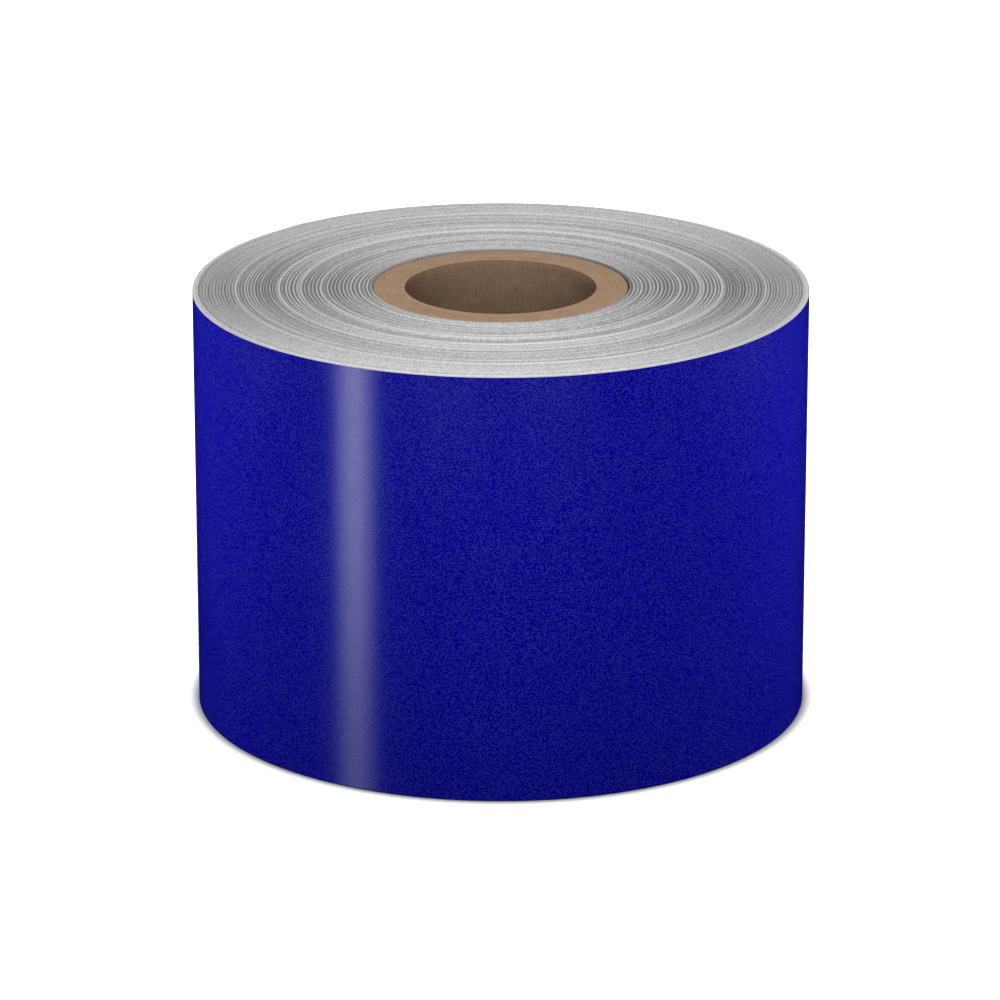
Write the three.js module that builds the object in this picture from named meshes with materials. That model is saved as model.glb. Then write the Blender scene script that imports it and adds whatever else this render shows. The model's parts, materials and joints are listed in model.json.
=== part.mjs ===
// A roll of self-adhesive sign vinyl on a paper core, standing on one end.
// Millimetres, +Z up along the roll's axis, origin on that axis at the surface the roll stands on.
// The strip is a vinyl film on a release liner, wound film side out. Seen from above it winds outwards
// counterclockwise. Its free end, the tail, lies at the back, where a small tab holds it down: the tail
// lifts off the roll, and the last stretch of film peels off the liner.
import * as THREE from "three";

// Driving dimensions.
const INCH = 25.4;
const STRIP_WIDTH = 2.25 * INCH;
const ROLL_RADIUS = 41;
const BORE_RADIUS = INCH / 2;
const CORE_WALL = 4.2;
const CORE_PLIES = 6;
const FILM_THICKNESS = 0.096; // 0.076 vinyl and 0.020 adhesive
const LINER_THICKNESS = 0.048;
const TAPE_THICKNESS = 0.06;
const CORE_TO_STRIP = 0.15; // room for the tape that holds the strip's first end to the core
const TURN_GROUPS = 12;
const WEAVE = 0.3; // how far a turn may stand out of its neighbours at the roll's ends
const CORE_LIFT = 0.1;
const LAST_TURN_LIFT = 0.1;
const START_TAPE_LENGTH = 25;
const TAIL_STATIONS = 11; // the tail's length, counted in stations
const PEEL_STATIONS = 5; // the length of film that peels
const TAB_LENGTH = 20;
const TAB_WIDTH = 25;
const LIFT_CLEARANCE = 0.06; // between surfaces that part when the tail moves
const HINGE_GAP = 0.3; // where a stretch that turns begins

// A turn is drawn through stations at equal angles, the same ones on every turn and ply, so that
// neighbours share their facets. Station 0 is on the ray where the strip begins and ends.
const STATIONS = 72;
const END_RAY = THREE.MathUtils.degToRad(135);
const STATION_ANGLE = (2 * Math.PI) / STATIONS;

const CORE_RADIUS = BORE_RADIUS + CORE_WALL;
const PACK_RADIUS = CORE_RADIUS + CORE_TO_STRIP;
const LAMINATE = FILM_THICKNESS + LINER_THICKNESS;
const TURNS = Math.round((ROLL_RADIUS - PACK_RADIUS) / LAMINATE) - 1;
const PITCH = (ROLL_RADIUS - PACK_RADIUS) / (TURNS + 1);
const HINGE_STATION = STATIONS - TAIL_STATIONS;
const PEEL_STATION = STATIONS - PEEL_STATIONS;

const MATERIALS = {
  core: new THREE.MeshStandardMaterial({ color: 0x9f856d, roughness: 0.9, metalness: 0 }),
  stripEdge: new THREE.MeshStandardMaterial({ color: 0xc4c4c4, roughness: 0.6, metalness: 0 }),
  film: new THREE.MeshStandardMaterial({ color: 0x131389, roughness: 0.35, metalness: 0 }),
  liner: new THREE.MeshStandardMaterial({ color: 0xe4e3dd, roughness: 0.5, metalness: 0 }),
  tape: new THREE.MeshStandardMaterial({ color: 0xd8d2bd, roughness: 0.6, metalness: 0 }),
};

const roll = new THREE.Group();

function addPiece(name, shape, length, lift, material) {
  const geometry = new THREE.ExtrudeGeometry(shape, { depth: length, bevelEnabled: false });
  const mesh = new THREE.Mesh(geometry, material);
  mesh.name = name;
  mesh.position.z = lift;
  roll.add(mesh);
}

function onRay(radius, station) {
  const angle = END_RAY + station * STATION_ANGLE;
  return new THREE.Vector2(radius * Math.cos(angle), radius * Math.sin(angle));
}

// A point of the spiral that starts at startRadius on station 0 and gains one pitch in a turn.
// Between stations it lies on the straight facet.
function onSpiral(startRadius, station) {
  const below = Math.floor(station);
  const radiusAt = (k) => startRadius + (PITCH * k) / STATIONS;
  const point = onRay(radiusAt(below), below);
  if (station > below) point.lerp(onRay(radiusAt(below + 1), below + 1), station - below);
  return point;
}

function spiralLine(startRadius, from, to) {
  const points = [onSpiral(startRadius, from)];
  for (let k = Math.floor(from) + 1; k < to; k++) points.push(onSpiral(startRadius, k));
  points.push(onSpiral(startRadius, to));
  return points;
}

function circle(radius) {
  return Array.from({ length: STATIONS }, (_, k) => onRay(radius, k));
}

// The outline, seen from above, of a stretch of sheet between two stations.
function sheetShape(innerStart, outerStart, from, to) {
  const inner = spiralLine(innerStart, from, to).reverse();
  return new THREE.Shape([...spiralLine(outerStart, from, to), ...inner]);
}

function ringShape(outline, hole) {
  const shape = new THREE.Shape(outline);
  shape.holes.push(new THREE.Path(hole));
  return shape;
}

function stationsFor(length, radius) {
  return length / (radius * STATION_ANGLE);
}

// The core: paper plies wound and glued one on the other, each 0.7 mm thick.
function addCore() {
  const ply = CORE_WALL / CORE_PLIES;
  for (let i = 1; i <= CORE_PLIES; i++) {
    const outer = circle(BORE_RADIUS + ply * i);
    const inner = circle(BORE_RADIUS + ply * (i - 1));
    const name = i === 1 ? "core_inner_ply" : i === CORE_PLIES ? "core_outer_ply" : `core_ply_${i}`;
    addPiece(name, ringShape(outer, inner), STRIP_WIDTH, CORE_LIFT, MATERIALS.core);
  }
}

// The tape between the core and the first turn, under the strip's first end.
function addStartTape() {
  const inner = CORE_RADIUS + (CORE_TO_STRIP - TAPE_THICKNESS) / 2;
  const stations = stationsFor(START_TAPE_LENGTH, inner);
  const shape = sheetShape(inner, inner + TAPE_THICKNESS, 0, stations);
  addPiece("start_tape", shape, STRIP_WIDTH, CORE_LIFT, MATERIALS.tape);
}

// Every turn but the last, as groups of turns. The strip wandered sideways a little while it was
// wound, so each group stands at its own height. The outermost group stands on the surface.
function addTurnGroups() {
  const wound = TURNS - 1;
  const turnsBefore = (group) => Math.round((group * wound) / TURN_GROUPS);
  const threeDigits = (n) => String(n).padStart(3, "0");
  for (let group = 0; group < TURN_GROUPS; group++) {
    const first = turnsBefore(group);
    const end = turnsBefore(group + 1);
    const outline = spiralLine(PACK_RADIUS + PITCH * end, 0, STATIONS);
    const hole = spiralLine(PACK_RADIUS + PITCH * first, 0, STATIONS);
    const fromOutside = TURN_GROUPS - 1 - group;
    const lift = WEAVE * Math.abs(Math.sin(1.9 * fromOutside));
    const name = `turns_${threeDigits(first + 1)}_${threeDigits(end)}`;
    addPiece(name, ringShape(outline, hole), STRIP_WIDTH, lift, MATERIALS.stripEdge);
  }
}

// The last turn up to the tail: liner inside, film outside.
function addLastTurn() {
  const inside = PACK_RADIUS + PITCH * (TURNS - 1);
  const between = inside + LINER_THICKNESS;
  const outside = inside + PITCH;
  const liner = sheetShape(inside, between, 0, HINGE_STATION);
  const film = sheetShape(between, outside, 0, HINGE_STATION);
  addPiece("last_turn_liner", liner, STRIP_WIDTH, LAST_TURN_LIFT, MATERIALS.liner);
  addPiece("last_turn_film", film, STRIP_WIDTH, LAST_TURN_LIFT, MATERIALS.film);
}

// The tail, which turns about its first edge, and on it the film that peels, which turns about its own.
function addTail() {
  const inside = PACK_RADIUS + PITCH * (TURNS - 1) + LIFT_CLEARANCE;
  const between = inside + LINER_THICKNESS;
  const outside = inside + PITCH;
  const gap = stationsFor(HINGE_GAP, ROLL_RADIUS);
  const start = HINGE_STATION + gap;
  const liner = sheetShape(inside, between, start, STATIONS);
  const film = sheetShape(between, outside, start, PEEL_STATION);
  addPiece("tail_liner", liner, STRIP_WIDTH, LAST_TURN_LIFT, MATERIALS.liner);
  addPiece("tail_film", film, STRIP_WIDTH, LAST_TURN_LIFT, MATERIALS.film);

  const peeling = sheetShape(
    between + LIFT_CLEARANCE,
    outside + LIFT_CLEARANCE,
    PEEL_STATION + gap,
    STATIONS,
  );
  addPiece("film_end", peeling, STRIP_WIDTH, LAST_TURN_LIFT, MATERIALS.film);

  const onFilm = outside + LIFT_CLEARANCE;
  const half = stationsFor(TAB_LENGTH / 2, ROLL_RADIUS);
  const tab = sheetShape(onFilm, onFilm + TAPE_THICKNESS, STATIONS - half, STATIONS + half);
  const tabLift = LAST_TURN_LIFT + (STRIP_WIDTH - TAB_WIDTH) / 2;
  addPiece("tail_tab", tab, TAB_WIDTH, tabLift, MATERIALS.tape);
}

addCore();
addStartTape();
addTurnGroups();
addLastTurn();
addTail();

export default roll;
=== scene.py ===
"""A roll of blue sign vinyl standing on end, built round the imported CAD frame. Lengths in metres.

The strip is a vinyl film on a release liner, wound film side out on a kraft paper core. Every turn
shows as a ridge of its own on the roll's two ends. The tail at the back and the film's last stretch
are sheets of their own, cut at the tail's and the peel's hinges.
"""

import json
import math

import bpy
import numpy as np
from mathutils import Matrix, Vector

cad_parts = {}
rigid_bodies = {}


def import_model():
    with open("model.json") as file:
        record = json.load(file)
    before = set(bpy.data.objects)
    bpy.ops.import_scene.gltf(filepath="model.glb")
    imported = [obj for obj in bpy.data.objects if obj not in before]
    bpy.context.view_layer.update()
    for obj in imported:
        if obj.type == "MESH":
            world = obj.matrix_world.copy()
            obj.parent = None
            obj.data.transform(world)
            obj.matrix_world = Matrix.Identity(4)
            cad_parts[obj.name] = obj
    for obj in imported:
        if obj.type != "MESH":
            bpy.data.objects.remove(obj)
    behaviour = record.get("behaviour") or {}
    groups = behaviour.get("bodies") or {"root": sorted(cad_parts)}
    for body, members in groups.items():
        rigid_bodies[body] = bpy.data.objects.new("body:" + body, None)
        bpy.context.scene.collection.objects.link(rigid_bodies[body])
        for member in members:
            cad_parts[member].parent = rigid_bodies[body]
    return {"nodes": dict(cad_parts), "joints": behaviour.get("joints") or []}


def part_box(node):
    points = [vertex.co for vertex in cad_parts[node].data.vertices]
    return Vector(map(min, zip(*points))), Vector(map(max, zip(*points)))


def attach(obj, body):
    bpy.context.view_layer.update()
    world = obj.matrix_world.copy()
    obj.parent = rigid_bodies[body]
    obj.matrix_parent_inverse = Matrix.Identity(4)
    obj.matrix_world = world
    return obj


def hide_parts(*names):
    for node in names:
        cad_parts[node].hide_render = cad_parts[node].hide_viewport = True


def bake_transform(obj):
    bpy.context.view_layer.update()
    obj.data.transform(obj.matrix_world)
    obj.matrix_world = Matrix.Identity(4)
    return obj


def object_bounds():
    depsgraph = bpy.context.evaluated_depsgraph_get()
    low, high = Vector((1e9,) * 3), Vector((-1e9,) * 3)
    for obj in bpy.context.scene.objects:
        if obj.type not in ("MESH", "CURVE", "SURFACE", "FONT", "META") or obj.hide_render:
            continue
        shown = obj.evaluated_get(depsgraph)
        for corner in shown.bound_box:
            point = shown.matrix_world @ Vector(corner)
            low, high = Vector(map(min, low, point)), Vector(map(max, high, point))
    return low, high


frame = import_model()
cad_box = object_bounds()
nodes = frame["nodes"]

MM = 0.001
TAU = 2 * math.pi

# ---------------------------------------------------------------------------- measures of the frame


def points_of(node):
    return np.array([v.co for v in nodes[node].data.vertices], float)


def radii_of(node):
    """Smallest and largest distance of a node's corners from the roll's axis."""
    distance = np.hypot(*points_of(node)[:, :2].T)
    return distance.min(), distance.max()


def angles_of(node):
    """Smallest and largest angle of a node's corners round the axis, if -X doesn't cut the node."""
    x, y = points_of(node)[:, :2].T
    angle = np.arctan2(y, x)
    return angle.min(), angle.max()


def joint_point(name):
    return Vector(next(j["pos_m"] for j in frame["joints"] if j["name"] == name))


def angle_at(point):
    return math.atan2(point.y, point.x)


MIDDLE_PLIES = sorted(n for n in nodes if n.startswith("core_ply_"))
PLIES = ["core_inner_ply", *MIDDLE_PLIES, "core_outer_ply"]
GROUPS = sorted(n for n in nodes if n.startswith("turns_"))
WOUND_TURNS = int(GROUPS[-1].rsplit("_", 1)[1])

PACK_RADIUS = radii_of(GROUPS[0])[0]
PITCH = (radii_of(GROUPS[-1])[1] - PACK_RADIUS) / (WOUND_TURNS + 1)
STRIP_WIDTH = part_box(GROUPS[-1])[1].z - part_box(GROUPS[-1])[0].z
WEAVE = cad_box[1].z - STRIP_WIDTH
SHEET_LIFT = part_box("last_turn_film")[0].z
LINER = 0.048 * MM
HAIR = 0.003 * MM  # between two faces that lie on each other

# Turns, and shares of a turn, are counted from the ray where the strip ends.
END_ANGLE = angles_of("tail_liner")[1]
TAIL_HINGE = joint_point("tail_lift")
PEEL_HINGE = joint_point("film_peel")
HINGE_SHARE = (angle_at(TAIL_HINGE) - END_ANGLE) / TAU + 1
PEEL_SHARE = (angle_at(PEEL_HINGE) - END_ANGLE) / TAU + 1
BARE_LINER = 0.3 * MM  # past the film's end the liner shows in a thin line
FILM_END_SHARE = 1 - BARE_LINER / (TAU * radii_of("film_end")[1])

# ------------------------------------------------------------------------------------ random fields


def ease(t):
    return t * t * (3 - 2 * t)


def ramp(x, start, end):
    return ease(np.clip((x - start) / (end - start), 0, 1))


def noise_1d(x, seed, period=None):
    """Smooth noise from -1 to 1 with a knot at every whole x. It repeats after period knots."""
    knots = np.random.default_rng(seed).uniform(-1, 1, period or int(np.max(x)) + 3)
    low = np.floor(x).astype(int)
    a, b = knots[low % len(knots)], knots[(low + 1) % len(knots)]
    return a + (b - a) * ease(x - low)


def noise_2d(u, v, seed, period):
    """Smooth noise from -1 to 1 with a knot at every whole (u, v). It repeats in u after period."""
    knots = np.random.default_rng(seed).uniform(-1, 1, (period, int(np.max(v)) + 3))
    i, j = np.floor(u).astype(int), np.floor(v).astype(int)
    s, t = ease(u - i), ease(v - j)
    near = knots[i % period, j] * (1 - t) + knots[i % period, j + 1] * t
    far = knots[(i + 1) % period, j] * (1 - t) + knots[(i + 1) % period, j + 1] * t
    return near * (1 - s) + far * s


# ---------------------------------------------------------------------------------------- materials


class Nodes:
    """A material's node tree with short calls for the nodes that the materials here share."""

    def __init__(self, name):
        self.material = bpy.data.materials.new(name)
        self.material.use_nodes = True
        self.tree = self.material.node_tree
        self.shader = self.tree.nodes["Principled BSDF"]

    def add(self, kind, **settings):
        node = self.tree.nodes.new(kind)
        for key, value in settings.items():
            setattr(node, key, value)
        return node

    def link(self, output, target):
        self.tree.links.new(output, target)

    def set(self, **values):
        for key, value in values.items():
            self.shader.inputs[key.replace("_", " ")].default_value = value

    def attribute(self, name, output):
        return self.add("ShaderNodeAttribute", attribute_name=name).outputs[output]

    def place(self):
        return self.add("ShaderNodeTexCoord").outputs["Object"]

    def noise(self, vector, size, detail=2.0, distortion=0.0, stretch=(1, 1, 1)):
        """Noise from 0 to 1 whose features are about size metres wide."""
        mapping = self.add("ShaderNodeMapping")
        mapping.inputs["Scale"].default_value = [k / size for k in stretch]
        self.link(vector, mapping.inputs["Vector"])
        texture = self.add("ShaderNodeTexNoise")
        texture.inputs["Scale"].default_value = 1.0
        texture.inputs["Detail"].default_value = detail
        texture.inputs["Distortion"].default_value = distortion
        self.link(mapping.outputs["Vector"], texture.inputs["Vector"])
        return texture.outputs["Fac"]

    def math(self, operation, a, b):
        node = self.add("ShaderNodeMath", operation=operation)
        for socket, value in zip(node.inputs, (a, b)):
            if isinstance(value, (int, float)):
                socket.default_value = value
            else:
                self.link(value, socket)
        return node.outputs[0]

    def remap(self, value, low, high, to_low=0.0, to_high=1.0):
        node = self.add("ShaderNodeMapRange", interpolation_type="SMOOTHSTEP")
        self.link(value, node.inputs["Value"])
        limits = {"From Min": low, "From Max": high, "To Min": to_low, "To Max": to_high}
        for key, number in limits.items():
            node.inputs[key].default_value = number
        return node.outputs["Result"]

    def mix(self, factor, a, b, blend="MIX"):
        node = self.add("ShaderNodeMix", data_type="RGBA", blend_type=blend)
        if isinstance(factor, (int, float)):
            node.inputs["Factor"].default_value = factor
        else:
            self.link(factor, node.inputs["Factor"])
        for socket, value in ((node.inputs[6], a), (node.inputs[7], b)):
            if isinstance(value, tuple):
                socket.default_value = (*value, 1.0)
            else:
                self.link(value, socket)
        return node.outputs[2]

    def color(self, output):
        self.link(output, self.shader.inputs["Base Color"])

    def roughness(self, output):
        self.link(output, self.shader.inputs["Roughness"])

    def bump(self, height, depth):
        node = self.add("ShaderNodeBump")
        node.inputs["Distance"].default_value = depth
        self.link(height, node.inputs["Height"])
        self.link(node.outputs["Normal"], self.shader.inputs["Normal"])


def film_face():
    """Blue vinyl with a fine emboss: pale worm-like ridges about 0.2 mm wide on a deeper blue."""
    m = Nodes("blue_vinyl_face")
    sheet = m.attribute("sheet", "Vector")
    field = m.noise(sheet, 0.21 * MM, detail=0.0, distortion=0.3)
    worms = m.remap(field, 0.44, 0.56)
    patches = m.remap(m.noise(sheet, 9 * MM, detail=3.0), 0.3, 0.7, 0.85, 1.0)
    pale = m.math("MULTIPLY", worms, patches)
    m.color(m.mix(pale, (0.000, 0.000, 0.371), (0.024, 0.024, 0.386)))
    m.roughness(m.remap(m.noise(sheet, 1.5 * MM), 0.3, 0.7, 0.15, 0.175))
    m.bump(worms, 0.0008 * MM)
    m.set(Specular_IOR_Level=0.35)
    return m.material


def strip_edge():
    """The cut edges of film and liner. The attribute tone says how light a turn's edge is, as
    painted shade.
    """
    m = Nodes("strip_edge")
    place, tone = m.place(), m.attribute("tone", "Fac")
    grain = m.noise(place, 0.28 * MM, detail=3.0)
    tone = m.math("ADD", tone, m.remap(grain, 0.25, 0.75, -0.14, 0.14))
    shade = m.remap(tone, 0.0, 1.0)
    m.color(m.mix(shade, (0.18, 0.18, 0.18), (0.68, 0.68, 0.68)))
    m.roughness(m.remap(grain, 0.3, 0.7, 0.5, 0.7))
    m.bump(grain, 0.02 * MM)
    m.set(Specular_IOR_Level=0.3)
    return m.material


def adhesive_back():
    """The film's underside: a clear, faintly orange-peeled coat of adhesive on a white backing."""
    m = Nodes("adhesive_back")
    sheet = m.attribute("sheet", "Vector")
    peel = m.noise(sheet, 1.8 * MM, detail=2.0)
    m.color(m.mix(peel, (0.62, 0.63, 0.66), (0.70, 0.71, 0.72)))
    m.roughness(m.remap(peel, 0.3, 0.7, 0.16, 0.26))
    m.bump(peel, 0.01 * MM)
    m.set(Specular_IOR_Level=0.5)
    return m.material


def liner_face():
    """Release paper: off-white, calendered, with paper fibres under a thin silicone gloss."""
    m = Nodes("release_liner")
    sheet = m.attribute("sheet", "Vector")
    fibre = m.noise(sheet, 0.5 * MM, detail=4.0, stretch=(0.35, 1, 1))
    cloud = m.noise(sheet, 5 * MM, detail=3.0)
    m.color(m.mix(m.math("MULTIPLY", fibre, cloud), (0.80, 0.78, 0.72), (0.66, 0.63, 0.56)))
    m.roughness(m.remap(cloud, 0.3, 0.7, 0.32, 0.42))
    m.bump(fibre, 0.004 * MM)
    return m.material


def kraft():
    """Core board: brown kraft with fibres, dark specks and a soft mottle."""
    m = Nodes("kraft_core")
    place = m.place()
    fibre = m.noise(place, 0.35 * MM, detail=4.0, stretch=(1, 1, 0.4))
    mottle = m.noise(place, 2.6 * MM, detail=5.0, distortion=0.6)
    brown = m.mix(m.remap(mottle, 0.3, 0.7), (0.460, 0.304, 0.195), (0.519, 0.352, 0.229))
    brown = m.mix(m.remap(fibre, 0.35, 0.75, 0.0, 0.22), brown, (0.28, 0.18, 0.11))
    grit = m.remap(m.noise(place, 0.28 * MM, detail=3.0), 0.25, 0.75)
    # Painted shade: the bore's wall is painted darker, with grit in the darkening.
    bore_shade_and_grit = m.mix(1.0, brown, m.mix(grit, (0.58, 0.58, 0.58), (0.82, 0.82, 0.82)), "MULTIPLY")
    brown = m.mix(m.attribute("bore", "Fac"), brown, bore_shade_and_grit)
    specks = m.remap(m.noise(place, 0.6 * MM, detail=1.0), 0.70, 0.76, 0.0, 0.22)
    m.color(m.mix(specks, brown, (0.10, 0.06, 0.035)))
    m.roughness(m.remap(fibre, 0.3, 0.7, 0.82, 0.95))
    m.bump(m.math("ADD", m.math("MULTIPLY", mottle, 2.0), fibre), 0.05 * MM)
    m.set(Specular_IOR_Level=0.15)
    return m.material


def crepe_tape():
    """Cream paper tape: short fibres, a soft cloud and fine crepe ridges across its length."""
    m = Nodes("paper_tape")
    sheet = m.attribute("sheet", "Vector")
    crepe = m.noise(sheet, 0.7 * MM, detail=2.0, stretch=(1, 0.35, 1))
    fibre = m.noise(sheet, 0.35 * MM, detail=4.0)
    cloud = m.noise(sheet, 4 * MM, detail=3.0)
    cream = m.mix(m.remap(cloud, 0.3, 0.7), (0.80, 0.75, 0.62), (0.84, 0.80, 0.68))
    m.color(m.mix(m.remap(fibre, 0.45, 0.75, 0.0, 0.3), cream, (0.62, 0.56, 0.43)))
    m.roughness(m.remap(fibre, 0.3, 0.7, 0.55, 0.7))
    m.bump(m.math("ADD", m.math("MULTIPLY", crepe, 1.5), fibre), 0.012 * MM)
    m.set(Specular_IOR_Level=0.3)
    return m.material


FACE = film_face()
EDGE = strip_edge()
BACK = adhesive_back()
LINER_FACE = liner_face()
KRAFT = kraft()
TAPE = crepe_tape()

# ------------------------------------------------------------------------------------------- meshes


class Shell:
    """Collects a closed mesh: corners, faces with their material's number, and corner values."""

    def __init__(self):
        self.corners, self.faces, self.slots, self.values = [], [], [], {}
        self.count = 0

    def add_points(self, points, **values):
        """Adds points of shape (..., 3) and returns their numbers in the same shape."""
        shape = points.shape[:-1]
        flat = points.reshape(-1, 3)
        for key, value in values.items():
            self.values.setdefault(key, []).append((self.count, np.asarray(value, float)))
        self.corners.append(flat)
        numbers = np.arange(self.count, self.count + len(flat)).reshape(shape)
        self.count += len(flat)
        return numbers

    def add_grid(self, numbers, slot=0, flip=False):
        """Quads between the corners of a two-way grid. They face up where rows run outwards and
        columns run counterclockwise."""
        a, b = numbers[:-1, :-1].ravel(), numbers[1:, :-1].ravel()
        c, d = numbers[1:, 1:].ravel(), numbers[:-1, 1:].ravel()
        quads = np.stack([a, b, c, d] if not flip else [d, c, b, a], axis=1)
        self.faces += quads.tolist()
        self.slots += [slot] * len(quads)

    def add_face(self, numbers):
        self.faces.append([int(n) for n in numbers])
        self.slots.append(0)

    def finish(self, name, materials, sharp_degrees=50):
        mesh = bpy.data.meshes.new(name)
        mesh.from_pydata(np.concatenate(self.corners).tolist(), [], self.faces)
        for material in materials:
            mesh.materials.append(material)
        mesh.polygons.foreach_set("material_index", np.array(self.slots, np.int32))
        for key, runs in self.values.items():
            # The place on the flat sheet is a vector; the other values are single numbers.
            if key == "sheet":
                width, kind, field = 3, "FLOAT_VECTOR", "vector"
            else:
                width, kind, field = 1, "FLOAT", "value"
            data = np.zeros((self.count, width), np.float32)
            for start, value in runs:
                value = value.reshape(-1, width)
                data[start:start + len(value)] = value
            attribute = mesh.attributes.new(key, kind, "POINT")
            attribute.data.foreach_set(field, data.ravel())
        mesh.update()
        mesh.shade_smooth()
        mesh.set_sharp_from_angle(angle=math.radians(sharp_degrees))
        piece = bpy.data.objects.new(name, mesh)
        bpy.context.scene.collection.objects.link(piece)
        return piece


def polar(radius, angle, z):
    radius, angle, z = np.broadcast_arrays(radius, angle, z)
    return np.stack([radius * np.cos(angle), radius * np.sin(angle), z], axis=-1)


# --------------------------------------------------------------------------- the wound strip's ends

COLUMNS = 288  # round one turn
ROWS = 2  # in one turn: a row on its crest and a row in the groove to the next
CAP_DEPTH = 1.5 * MM
TURN_GROOVE = 0.022 * MM
TURN_JITTER = 0.012 * MM
ROLL_RADIUS = PACK_RADIUS + PITCH * (WOUND_TURNS + 2)
SHEET_START = -14 / 72  # share of a turn where each turn and the last turn's sheets begin

# Rings that stand out, and sunken ones: share of the roll's radius, reach of the ring in turns.
PROUD_RINGS = ((0.58, 0.6), (0.65, 0.6), (0.718, 1.1), (0.857, 1.0))
SUNKEN_RINGS = ((0.545, 3.0), (0.703, 2.0), (0.77, 9.0))
SINKING = 0.10  # how far a sunken ring lies under the rest, as a share of the weave
LOOSE_SHARE = 0.69  # inside this share of the roll's radius the strip wandered in longer swings
LOOSE_SWING = 1.25
SWING = (1.15, 1.75)  # turns from a crest to the next trough
CREST = (0.70, 0.95)  # shares of the weave
TROUGH = (0.0, 0.22)
SWELLS, SWELL = 7, 0.08  # slow waves round one turn, and their share of a turn's height
SHIFT_RISE, SHIFT_DROP = 1.12, 0.16  # the lowest troughs lie a little under the flat end

# Painted shade: the strip's edge is painted dark in the troughs and light on the crests. Its tone
# goes from 0 to 1.
TROUGH_SHADE_TONE, TONE_RISE, TONE_CURVE = 0.20, 0.59, 1.3
JITTER_TONE = 0.08
# Painted shade in the groove between two turns.
GROOVE_SHADE_TONE = -0.10
CALM_TONE, CALM_SHARE, CALM_FROM, CALM_TO = 0.56, 0.6, 0.86, 0.93  # even rings near the outside
RIM_TONE, RIM_TURNS = 0.9, (4, 1)  # the last turns run up to the sheets: light, and level with them
# Painted shade: the first turns beside the core are painted dark, where shade falls between core
# and strip.
CORE_SHADE_TONE, CORE_TURNS = 0.2, 1.5  # the first turns make a dark line beside the core
CORE_STEP = 0.3  # share of a turn in which that line narrows, past the step where the strip starts


def turn_at(share_of_radius):
    return (share_of_radius * ROLL_RADIUS - PACK_RADIUS) / PITCH


def ridge_knots():
    """Crests and troughs by turn: the strip wandered to and fro every two or three turns."""
    draw = np.random.default_rng(11)
    at, level = [-4.0], [0.2]
    while at[-1] < WOUND_TURNS + 6:
        crest = len(at) % 2 == 1
        stretch = LOOSE_SWING if at[-1] < turn_at(LOOSE_SHARE) else 1.0
        at.append(at[-1] + draw.uniform(*SWING) * stretch)
        level.append(draw.uniform(*(CREST if crest else TROUGH)))
    return np.array(at), np.array(level)


KNOT_AT, KNOT_LEVEL = ridge_knots()


def wander(turn):
    """How far the strip stands towards +Z at a count of turns, as a share of the weave."""
    k = np.clip(np.searchsorted(KNOT_AT, turn, side="right") - 1, 0, len(KNOT_AT) - 2)
    share = (turn - KNOT_AT[k]) / (KNOT_AT[k + 1] - KNOT_AT[k])
    level = KNOT_LEVEL[k] + (KNOT_LEVEL[k + 1] - KNOT_LEVEL[k]) * ease(share)
    level = level + 0.04 * noise_1d((turn + 8) / 9, 5)
    for where, reach in SUNKEN_RINGS:
        level = level - SINKING * np.exp(-(((turn - turn_at(where)) / reach) ** 2))
    for where, reach in PROUD_RINGS:
        near = np.exp(-(((turn - turn_at(where)) / reach) ** 2))
        level = level * (1 - near) + near
    return np.clip(level, 0, 1)


def end_field(turn, share):
    """Shift towards +Z and tone of the strip's edge, by turn and share of a turn, on a grid. The
    tone is painted shade.
    """
    strand = turn + share
    level = wander(strand)
    swell = noise_2d(share * SWELLS, strand / 6 + 2, 21, SWELLS)
    level = np.clip(level + SWELL * swell * level, 0, 1)
    jitter = noise_1d(strand * 2.6 + 6, 31)
    shift = WEAVE * (SHIFT_RISE * level - SHIFT_DROP) + TURN_JITTER * jitter
    # Painted shade: a turn that stands low is painted dark, one that stands high light.
    tone = TROUGH_SHADE_TONE + TONE_RISE * level**TONE_CURVE + JITTER_TONE * jitter
    calm = CALM_SHARE * ramp(strand, turn_at(CALM_FROM), turn_at(CALM_TO))
    tone = tone * (1 - calm) + CALM_TONE * calm
    # Painted shade: a dark line beside the core.
    from_core = np.maximum(turn - 1 + ramp(share - SHEET_START, 0.0, CORE_STEP), 0.0)
    tone = tone * (CORE_SHADE_TONE + (1 - CORE_SHADE_TONE) * ramp(from_core, 0.0, CORE_TURNS))
    rim = ramp(strand, WOUND_TURNS - RIM_TURNS[0], WOUND_TURNS - RIM_TURNS[1])
    shift = shift * (1 - rim) + SHEET_LIFT * rim
    tone = tone * (1 - rim) + RIM_TONE * rim
    return shift, tone


def cap_numbers(shell, z_of, first, last, top):
    """The ridged surface of turns first to last, as a grid whose last column runs on as the next
    turn's first column. Its corners' numbers come back as the grid."""
    rows = np.arange((last - first) * ROWS + 1)
    share = SHEET_START + np.arange(COLUMNS + 1) / COLUMNS
    turn = (first + rows / ROWS)[:, None]
    shift, tone = end_field(turn, share[None, :])
    groove = np.where(rows % ROWS == 0, TURN_GROOVE, 0.0)[:, None]
    height = z_of + shift - groove if top else np.maximum(shift, 0) + groove
    radius = PACK_RADIUS + PITCH * (turn + share)
    points = polar(radius, END_ANGLE + TAU * share, height)
    # Painted shade: the groove between two turns is painted darker.
    tone = tone + GROOVE_SHADE_TONE * (groove > 0)
    # Painted shade: on the lower end a deep edge is painted dark.
    if not top:  # where a turn stands high, its lower edge lies deep
        tone = 1.02 - tone * 0.9
    numbers = np.empty(points.shape[:2], int)
    numbers[:, :-1] = shell.add_points(points[:, :-1], tone=tone[:, :-1])
    numbers[:-ROWS, -1] = numbers[ROWS:, 0]
    numbers[-ROWS:, -1] = shell.add_points(points[-ROWS:, -1], tone=tone[-ROWS:, -1])
    return numbers


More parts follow.
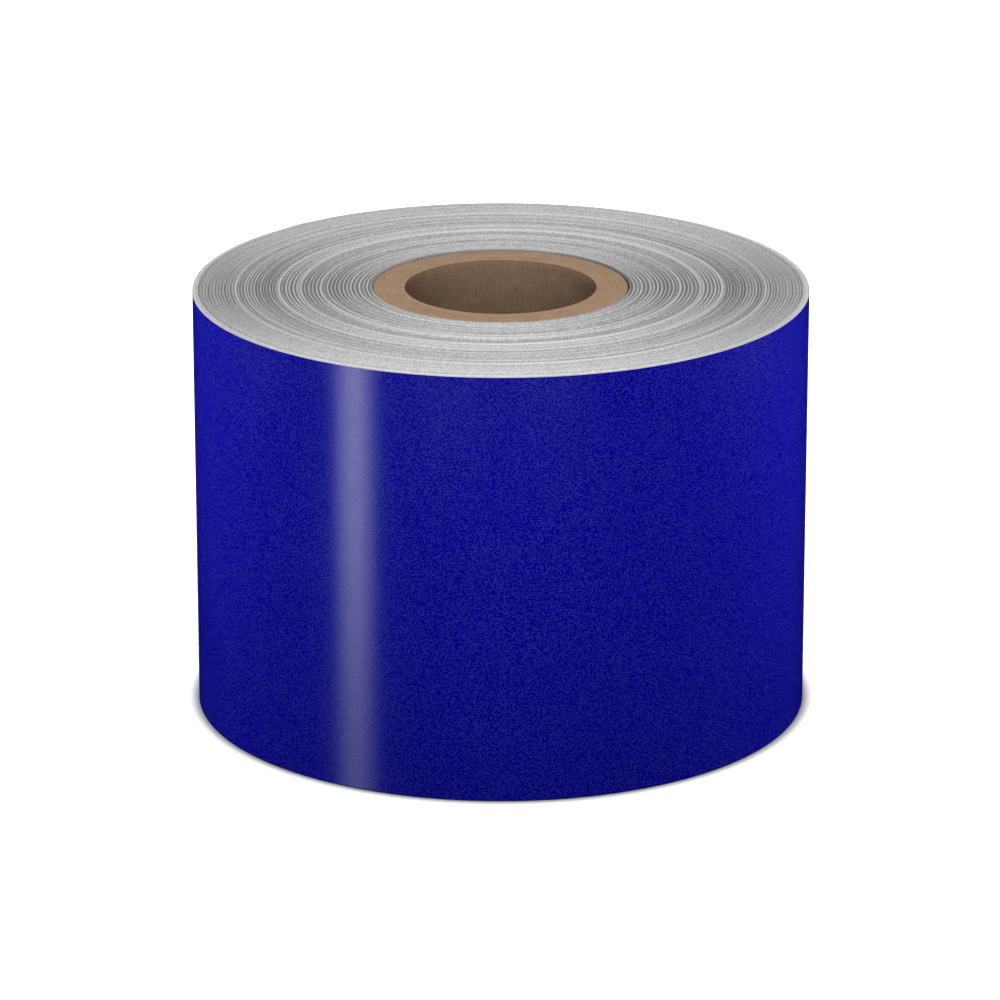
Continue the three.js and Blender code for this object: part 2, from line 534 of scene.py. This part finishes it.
def rim_loops(numbers):
    """The inner and the outer edge of a cap, each a closed loop with a short radial step."""
    inner = np.concatenate([numbers[0, :], numbers[ROWS - 1:0:-1, 0]])
    outer = np.concatenate([numbers[-1, :], numbers[-2:-ROWS - 1:-1, -1]])
    return inner, outer


def add_floor(shell, inner, outer, up):
    """A flat face between two loops, closed where both loops step inwards."""
    n = COLUMNS
    step_in, step_out = inner[n:], outer[n:]
    first = [inner[0], inner[1], outer[1], outer[0], *step_in]
    last = [inner[n - 1], step_in[0], outer[0], *step_out[::-1], outer[n - 1]]
    middle = [[inner[i], inner[i + 1], outer[i + 1], outer[i]] for i in range(1, n - 1)]
    for face in (first, *middle, last):
        shell.add_face(face[::-1] if up else face)


def add_ring(shell, first, last, top):
    """One end of a turn group: the ridged cap, two short walls and a flat floor inside the roll."""
    z_of = STRIP_WIDTH if top else 0.0
    numbers = cap_numbers(shell, z_of, first, last, top)
    shell.add_grid(numbers, flip=not top)
    deep = STRIP_WIDTH - CAP_DEPTH if top else CAP_DEPTH
    everything = np.concatenate(shell.corners)
    loops = []
    for outside, loop in enumerate(rim_loops(numbers)):
        points = everything[loop].copy()
        points[:, 2] = deep
        lower = shell.add_points(points, tone=np.full(len(loop), 0.5))
        around = np.stack([np.append(lower, lower[0]), np.append(loop, loop[0])])
        shell.add_grid(around, flip=bool(outside) == top)
        loops.append(lower)
    add_floor(shell, *loops, up=not top)


def turn_group(node):
    first, last = (int(part) for part in node.split("_")[1:])
    shell = Shell()
    for top in (True, False):
        add_ring(shell, first - 1, last, top)
    piece = shell.finish(f"{node}_ends", [EDGE])
    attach(piece, "roll")
    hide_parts(node)


# ---------------------------------------------------------------------------------- sheets and tape

SHEET_ROWS = 24
SHEET_STEP = 0.5 / COLUMNS  # share of a turn
EDGE_WAVE = 0.012 * MM  # how unevenly a sheet was cut
FACE_STEP = 0.02  # keeps the patterns of a sheet's two faces apart
TAB_COLUMNS, TAB_ROWS = 100, 16
TAB_CORNER = 2.5 * MM
TAB_STEP_DOWN = (0.05 * MM, 0.9 * MM)  # past the strip's end
TAPE_THICKNESS = 0.05 * MM
START_TAPE_ROWS = 8


def sheet_radius(share):
    """Inner radius of the last turn's liner, by share of a turn past the end ray."""
    return PACK_RADIUS + PITCH * (WOUND_TURNS + share)


def edge_wave(share):
    return EDGE_WAVE * noise_1d((share + 1) * 9, 3)


def even_shares(first, last):
    return np.linspace(first, last, max(2, round((last - first) / SHEET_STEP)) + 1)


def sheet_piece(name, share, radii, z_span, materials, rows=SHEET_ROWS):
    """A thin closed sheet with a column at each share of a turn. radii(share) are its two faces and
    z_span(share) its edges. Materials are those of the outer face, the inner face and the cuts."""
    inner, outer = (np.broadcast_to(r, share.shape) for r in radii(share))
    low, high = (np.broadcast_to(z, share.shape) + edge_wave(share) for z in z_span(share))
    t = np.linspace(0, 1, rows)[:, None]
    z = low + (high - low) * t
    length = (share * TAU * sheet_radius(0))[None, :] + 0 * z
    shell = Shell()
    grids = []
    for side, radius in enumerate((inner, outer)):
        points = polar(radius[None, :] + 0 * z, END_ANGLE + TAU * share[None, :], z)
        flat = np.stack([length, z, np.full_like(z, side * FACE_STEP)], axis=-1)
        grids.append(shell.add_points(points, sheet=flat, tone=np.ones_like(z)))
    inside, outside = grids
    shell.add_grid(outside, slot=0, flip=True)
    shell.add_grid(inside, slot=1)
    for loop_in, loop_out, flip in (
        (inside[0], outside[0], True),
        (inside[-1], outside[-1], False),
        (inside[:, 0], outside[:, 0], False),
        (inside[:, -1], outside[:, -1], True),
    ):
        shell.add_grid(np.stack([loop_in, loop_out]), slot=2, flip=flip)
    return shell.finish(name, materials)


def strip_edges(_share):
    return SHEET_LIFT, SHEET_LIFT + STRIP_WIDTH


def liner_radii(share):
    inner = sheet_radius(share)
    return inner + HAIR, inner + LINER - HAIR


def film_radii(share):
    inner = sheet_radius(share)
    return inner + LINER + HAIR, inner + PITCH


def bend_at_tail(piece):
    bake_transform(piece)


def bend_at_peel(piece):
    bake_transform(piece)


def outer_sheets():
    """The last turn, the tail and the film's free end."""
    liner = [LINER_FACE, LINER_FACE, EDGE]
    film = [FACE, BACK, EDGE]
    for name, span, radii, materials, fasten in (
        ("last_turn_liner", (SHEET_START, HINGE_SHARE), liner_radii, liner, None),
        ("last_turn_film", (SHEET_START, HINGE_SHARE), film_radii, film, None),
        ("tail_liner", (HINGE_SHARE, 1), liner_radii, liner, bend_at_tail),
        ("tail_film", (HINGE_SHARE, PEEL_SHARE), film_radii, film, bend_at_tail),
        ("film_end", (PEEL_SHARE, FILM_END_SHARE), film_radii, film, bend_at_peel),
    ):
        shares = even_shares(*span)
        piece = sheet_piece(f"{name}_sheet", shares, radii, strip_edges, materials)
        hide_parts(name)
        if fasten:
            fasten(piece)
        else:
            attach(piece, "roll")


def tail_tab():
    """The tab over the strip's end. Past the end it steps down onto the turn below."""
    low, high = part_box("tail_tab")
    first, last = ((a - END_ANGLE) / TAU for a in angles_of("tail_tab"))
    length = (last - first) * TAU * sheet_radius(0)

    def radii(share):
        on_end = sheet_radius(share + 1) + PITCH
        below = sheet_radius(np.maximum(share, 0)) + PITCH
        down = ramp(share * TAU * sheet_radius(0), *TAB_STEP_DOWN)
        base = on_end * (1 - down) + below * down + HAIR
        return base, base + TAPE_THICKNESS

    def edges(share):
        from_end = (share - first) * TAU * sheet_radius(0)
        cut = np.clip(TAB_CORNER - np.minimum(from_end, length - from_end), 0, TAB_CORNER)
        back = TAB_CORNER - np.sqrt(np.maximum(TAB_CORNER**2 - cut**2, 0))
        return low.z + back, high.z - back

    # The columns stand closer towards the rounded corners.
    spread = 0.5 - 0.5 * np.cos(np.linspace(0, math.pi, TAB_COLUMNS))
    shares = first + (last - first) * spread
    piece = sheet_piece("tail_tab_tape", shares, radii, edges, [TAPE, TAPE, TAPE], rows=TAB_ROWS)
    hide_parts("tail_tab")
    bend_at_peel(piece)


def start_tape():
    """The tape on the core, under the strip's first end."""
    low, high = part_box("start_tape")
    inner = radii_of("start_tape")[0]
    corners = points_of("start_tape")
    angle = (np.arctan2(corners[:, 1], corners[:, 0]) - END_ANGLE) % TAU
    last = float(np.max(np.where(angle > math.pi, 0, angle))) / TAU

    def radii(_share):
        return inner, inner + TAPE_THICKNESS

    def edges(_share):
        return low.z, high.z

    piece = sheet_piece("start_tape_strip", even_shares(0.0, last), radii, edges,
                        [TAPE, TAPE, TAPE], rows=START_TAPE_ROWS)
    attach(piece, "roll")
    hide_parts("start_tape")


# --------------------------------------------------------------------------------------------- core

CORE_COLUMNS = 216
BORE_ROWS, PLY_ROWS = 58, 6
BORE_EDGE, OUTER_EDGE, PLY_EDGE = 0.10 * MM, 0.18 * MM, 0.03 * MM  # radii of the plies' soft edges
PLY_SINK = 0.045 * MM  # the most that one ply's end lies lower than the next
PLY_FUZZ = 0.02 * MM
CRUMPLE = 0.03 * MM
BORE_PAPER = 0.05 * MM  # how far the inner ply's paper stands into the bore on average


def soft_corner(radius, z, inwards, down):
    """Two points of a ply's soft edge: one on the bend and one on the ply's end."""
    return [(radius + 0.3 * inwards, z + 0.3 * down), (radius + inwards, z)]


def ply_profile(node, rows, soft_in, soft_out):
    """(radius, z) from the inner wall's lowest row up, out over the top and back underneath."""
    inner, outer = radii_of(node)
    low, high = (corner.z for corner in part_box(node))
    middle = (inner + outer) / 2
    t = np.linspace(0, 1, rows)
    return np.array([
        *((inner + HAIR, z) for z in low + soft_in + (high - low - 2 * soft_in) * t),
        *soft_corner(inner, high, soft_in, -soft_in),
        (middle, high),
        *soft_corner(outer, high, -soft_out, -soft_out)[::-1],
        (outer - HAIR, high - soft_out),
        (outer - HAIR, low + soft_out),
        *soft_corner(outer, low, -soft_out, soft_out),
        (middle, low),
        *soft_corner(inner, low, soft_in, soft_in)[::-1],
    ])


def ply_ring(node, index):
    """One ply: a closed ring. Its ends stand a hair higher or lower than its neighbours', and the
    first ply's bore is unevenly laid paper."""
    low, high = (corner.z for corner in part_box(node))
    draw = np.random.default_rng(70 + index)
    angle = np.arange(CORE_COLUMNS) / CORE_COLUMNS * TAU
    share = angle / TAU
    is_bore, is_outside = index == 0, index == len(PLIES) - 1
    sink = draw.uniform(0.0, 1.0) * PLY_SINK
    fuzz = PLY_FUZZ * noise_1d(share * 40, 80 + index, 40)
    rows = BORE_ROWS if is_bore else PLY_ROWS
    soft_in = BORE_EDGE if is_bore else PLY_EDGE
    soft_out = OUTER_EDGE if is_outside else PLY_EDGE
    profile = ply_profile(node, rows, soft_in, soft_out)
    radius = np.repeat(profile[:, :1], CORE_COLUMNS, axis=1)
    z = np.repeat(profile[:, 1:], CORE_COLUMNS, axis=1)
    middle = (low + high) / 2
    at_end = ramp(np.abs(z - middle), (high - low) / 2 - 1.0 * MM, (high - low) / 2)
    z = z - np.sign(z - middle) * at_end * (sink + np.abs(fuzz))
    # in_bore marks the bore's wall, which the kraft paints darker as painted shade.
    in_bore = np.zeros_like(z)
    if is_bore:
        in_bore[:rows] = 1.0
        crumple = (noise_2d(share * 60 + 0 * z, z / MM / 2.4, 91, 60)
                   + 0.6 * noise_2d(share * 130 + 0 * z, z / MM / 1.1, 92, 130))
        dent = CRUMPLE * crumple - BORE_PAPER + bore_seam(share + 0 * z, z)
        radius = radius + in_bore * ramp(middle - low - np.abs(z - middle), 0.0, 1.5 * MM) * dent
    shell = Shell()
    numbers = shell.add_points(polar(radius, angle + 0 * z, z), bore=in_bore)
    closed = np.vstack([numbers, numbers[:1]])
    closed = np.hstack([closed, closed[:, :1]])
    shell.add_grid(closed)
    piece = shell.finish(f"{node}_paper", [KRAFT], sharp_degrees=40)
    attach(piece, "roll")
    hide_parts(node)


def bore_seam(share, z):
    """The butt of the spirally wound inner ply: a shallow groove that climbs round the bore."""
    climb, depth, half_width = 26 * MM, 0.12 * MM, 0.5 * MM
    off = (share * climb - z) % climb
    off = np.minimum(off, climb - off)
    return depth * np.exp(-((off / half_width) ** 2))


def wound_middle():
    """The strip between the two ridged ends, one solid ring inside the roll."""
    shell = Shell()
    gap = 0.05 * MM
    share = SHEET_START + np.arange(COLUMNS // 2) / (COLUMNS // 2)
    angle = END_ANGLE + TAU * share
    inner = PACK_RADIUS + PITCH
    outer = sheet_radius(share) - gap
    low, high = CAP_DEPTH + gap, STRIP_WIDTH - CAP_DEPTH - gap
    loops = [shell.add_points(polar(r, angle, z), tone=np.full(len(share), 0.6))
             for r, z in ((inner, low), (inner, high), (outer, high), (outer, low))]
    grid = np.stack([*loops, loops[0]])
    grid = np.hstack([grid, grid[:, :1]])
    shell.add_grid(grid)
    piece = shell.finish("wound_strip_middle", [EDGE])
    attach(piece, "roll")


# -------------------------------------------------------------------------------------------- stage


def pale_floor():
    """White, with a grey contact shadow that comes from how much of the sky a point sees."""
    m = Nodes("pale_floor")
    place = m.place()
    contact = m.add("ShaderNodeAmbientOcclusion", samples=8)
    contact.inputs["Distance"].default_value = 2.4 * MM
    near = m.remap(contact.outputs["AO"], 0.45, 1.0)
    m.color(m.mix(near, (0.16, 0.16, 0.16), (0.92, 0.92, 0.92)))
    m.set(Roughness=0.9, Emission_Color=(1, 1, 1, 1))
    distance = m.add("ShaderNodeVectorMath", operation="LENGTH")
    m.link(place, distance.inputs[0])
    glow = m.remap(distance.outputs["Value"], 0.15, 0.6, 0.0, 1.2)
    m.link(glow, m.shader.inputs["Emission Strength"])
    mesh = bpy.data.meshes.new("floor")
    half = 4.0
    corners = [(-half, -half, 0), (half, -half, 0), (half, half, 0), (-half, half, 0)]
    mesh.from_pydata(corners, [], [(0, 1, 2, 3)])
    mesh.materials.append(m.material)
    floor = bpy.data.objects.new("floor", mesh)
    bpy.context.scene.collection.objects.link(floor)
    floor.visible_glossy = floor.visible_diffuse = floor.visible_shadow = False
    return floor


def area_light(name, place, aim, size, power, lit=None, glossy=False, diffuse=True):
    """A lamp of a size (across, up) in metres and a power in watts. It lights only the collection
    lit, or everything where there is none."""
    light = bpy.data.lights.new(name, "AREA")
    light.shape = "RECTANGLE"
    light.size, light.size_y = size
    light.energy = power
    lamp = bpy.data.objects.new(name, light)
    lamp.location = place
    lamp.rotation_mode = "QUATERNION"
    lamp.rotation_quaternion = (Vector(aim) - Vector(place)).to_track_quat("-Z", "Y")
    lamp.visible_camera = False
    lamp.visible_glossy, lamp.visible_diffuse = glossy, diffuse
    bpy.context.scene.collection.objects.link(lamp)
    if lit is not None:
        lamp.light_linking.receiver_collection = lit


# Low lamps round the roll: direction in degrees, distance, height and watts. Those for the outer
# wall stand below the roll's upper end, and further off where the tail lifts.
WALL_LAMPS = (
    (-75, 0.118, 0.053, 0.021),
    (-105, 0.118, 0.053, 0.021),
    (-30, 0.118, 0.053, 0.008),
    (-150, 0.118, 0.053, 0.008),
    (0, 0.118, 0.053, 0.062),
    (180, 0.118, 0.053, 0.062),
    (30, 0.118, 0.053, 0.027),
    (150, 0.118, 0.053, 0.027),
    (75, 0.18, 0.080, 0.050),
    (105, 0.18, 0.080, 0.050),
)
# Those for the strip's ends graze the ridges.
END_LAMPS = (
    (0, 0.22, 0.075, 0.08),
    (45, 0.16, 0.085, 0.10),
    (90, 0.16, 0.085, 0.048),
    (135, 0.16, 0.085, 0.10),
    (180, 0.22, 0.075, 0.08),
    (225, 0.16, 0.085, 0.048),
    (270, 0.16, 0.085, 0.048),
    (315, 0.16, 0.085, 0.048),
)
# Those for the core: one for its end and one that looks down into the bore.
CORE_LAMPS = (
    (-90, 0.16, 0.085, 0.085),
    (-90, 0.45, 0.50, 0.6),
)
LOW_LAMP_AIM = (0, 0, 0.045)
WALL_LAMP_SIZE, END_LAMP_SIZE = (0.05, 0.05), (0.10, 0.06)

# The tall strip lamps that make the highlight. The two widths and the three feet, as height and
# share of the power, soften its edges and let it fade towards the floor.
STRIP_TURN = math.radians(180 + 35.5)
STRIP_AWAY, STRIP_TOP = 0.90, 0.85
STRIP_WIDTHS = (0.11, 0.24)
STRIP_FEET = ((-0.28, 0.95), (-0.32, 0.40), (-0.45, 0.42))
STRIP_POWER = 6.0  # watts per square metre
STRIP_APART = 0.004  # lamps in one plane would hide each other in reflections


def lit_only(*endings):
    """The pieces that a lamp is linked to, by how their names end."""
    lit = bpy.data.collections.new("lit" + "".join(endings))
    for piece in bpy.context.scene.objects:
        if piece.name.endswith(endings):
            lit.objects.link(piece)
    return lit


def white_world():
    """A white room that only the camera sees."""
    world = bpy.data.worlds.new("white_room")
    world.use_nodes = True
    background = world.node_tree.nodes["Background"]
    background.inputs["Color"].default_value = (1, 1, 1, 1)
    background.inputs["Strength"].default_value = 1.0
    world.cycles_visibility.glossy = False
    world.cycles_visibility.diffuse = False
    bpy.context.scene.world = world


def low_lamps(lamps, size, lit):
    for degrees, radius, height, power in lamps:
        turn = math.radians(degrees)
        place = (radius * math.cos(turn), radius * math.sin(turn), height)
        area_light(f"ring_{radius}_{degrees}", place, LOW_LAMP_AIM, size, power, lit)


def strip_lamps():
    across = Vector((math.cos(STRIP_TURN), math.sin(STRIP_TURN), 0))
    away = STRIP_AWAY
    for width in STRIP_WIDTHS:
        for foot, share in STRIP_FEET:
            tall = STRIP_TOP - foot
            place = across * away + Vector((0, 0, foot + tall / 2))
            power = width * tall * STRIP_POWER * share
            area_light(f"strip_{width}_{-foot}", place, (0, 0, place.z), (width, tall), power,
                       glossy=True, diffuse=False)
            away += STRIP_APART


def studio():
    white_world()
    washed = bpy.data.collections.new("washed")
    washed.objects.link(pale_floor())
    ends = lit_only("_ends")
    top = 0.057
    area_light("floor_wash", (0, 0, 1.0), (0, 0, 0), (2.5, 2.5), 60.0, washed)
    area_light("overhead", (0, -0.10, 0.60), (0, 0, 0.05), (0.7, 0.7), 2.75)
    area_light("rake", (0, -0.60, top + 0.13), (0, 0, top), (0.3, 0.12), 2.4, ends)
    low_lamps(WALL_LAMPS, WALL_LAMP_SIZE, lit_only("_sheet", "_tape"))
    low_lamps(END_LAMPS, END_LAMP_SIZE, ends)
    low_lamps(CORE_LAMPS, END_LAMP_SIZE, lit_only("_paper"))
    strip_lamps()


def camera():
    """A long lens in front of the roll, looking a little down, as in the photograph."""
    distance, elevation = 0.765, math.radians(18.57)
    target = Vector((-0.00008, 0, 0.0273))
    data = bpy.data.cameras.new("camera")
    data.lens, data.sensor_width = 205.0, 36.0
    data.clip_start, data.clip_end = 0.01, 20.0
    eye = bpy.data.objects.new("camera", data)
    away = Vector((0, -math.cos(elevation), math.sin(elevation)))
    eye.location = target + away * distance
    eye.rotation_mode = "QUATERNION"
    eye.rotation_quaternion = (-away).to_track_quat("-Z", "Y")
    bpy.context.scene.collection.objects.link(eye)
    bpy.context.scene.camera = eye
    bpy.context.scene.view_settings.view_transform = "Standard"


for index, ply in enumerate(PLIES):
    ply_ring(ply, index)
start_tape()
for group in GROUPS:
    turn_group(group)
wound_middle()
outer_sheets()
tail_tab()
camera()
studio()
